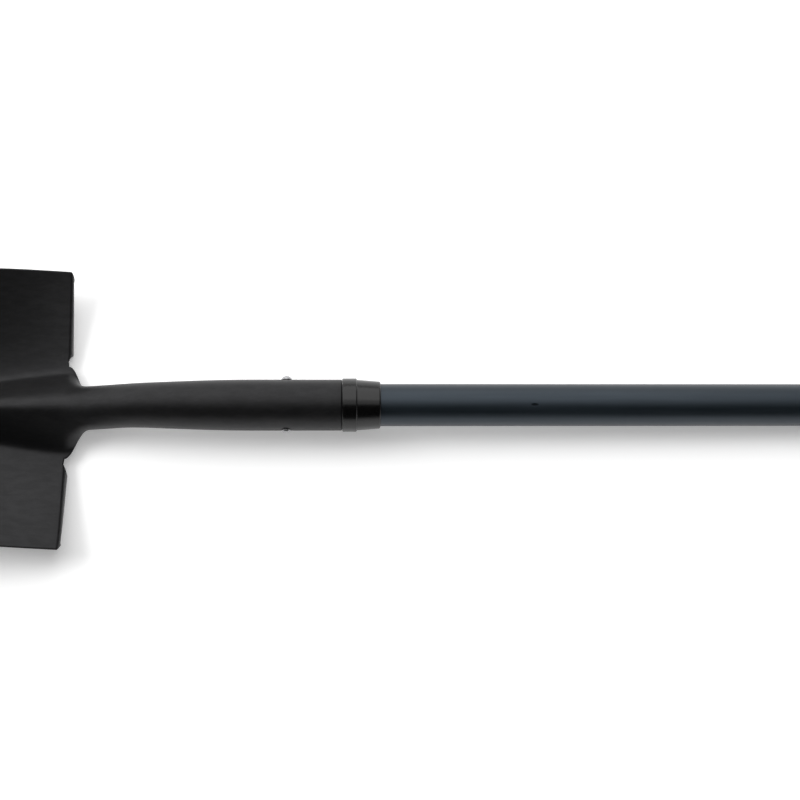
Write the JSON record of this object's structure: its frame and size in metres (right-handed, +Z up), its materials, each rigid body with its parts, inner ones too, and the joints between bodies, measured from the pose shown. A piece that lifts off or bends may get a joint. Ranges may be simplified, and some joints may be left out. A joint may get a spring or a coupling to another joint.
{
  "type": "camp shovel",
  "caption": "Camp shovel with a black round-point steel blade, cranked neck and riveted socket, glossy collar, slate-blue tube shaft and a D-grip handle",
  "frame": {"origin": "middle of the bounding box, on the floor under the tool as it lies on its back", "axes": "+X from the blade's point to the grip, +Z up, out of the blade's front face, +Y to the left of the shaft seen from the blade toward the grip"},
  "size_m": [1.1023, 0.2306, 0.0822],
  "materials": {
    "head_coat": "satin black powder coat with a fine texture",
    "ferrule_plastic": "glossy",
    "rivet_steel": "bright, slightly scuffed",
    "tube_shell": "satin slate-blue shell",
    "core_wood": "plain turned dowel",
    "grip_plastic": "finely grained moulding",
    "grip_rubber": "matte"
  },
  "bodies": {
    "root": {"head": "head_coat", "ferrule": "ferrule_plastic", "socket_rivet": "rivet_steel", "shaft_tube": "tube_shell", "lower_core": "core_wood", "upper_core": "core_wood", "grip_yoke": "grip_plastic", "grip_sleeve": "grip_rubber", "grip_rivet": "rivet_steel"}
  },
  "joints": []
}
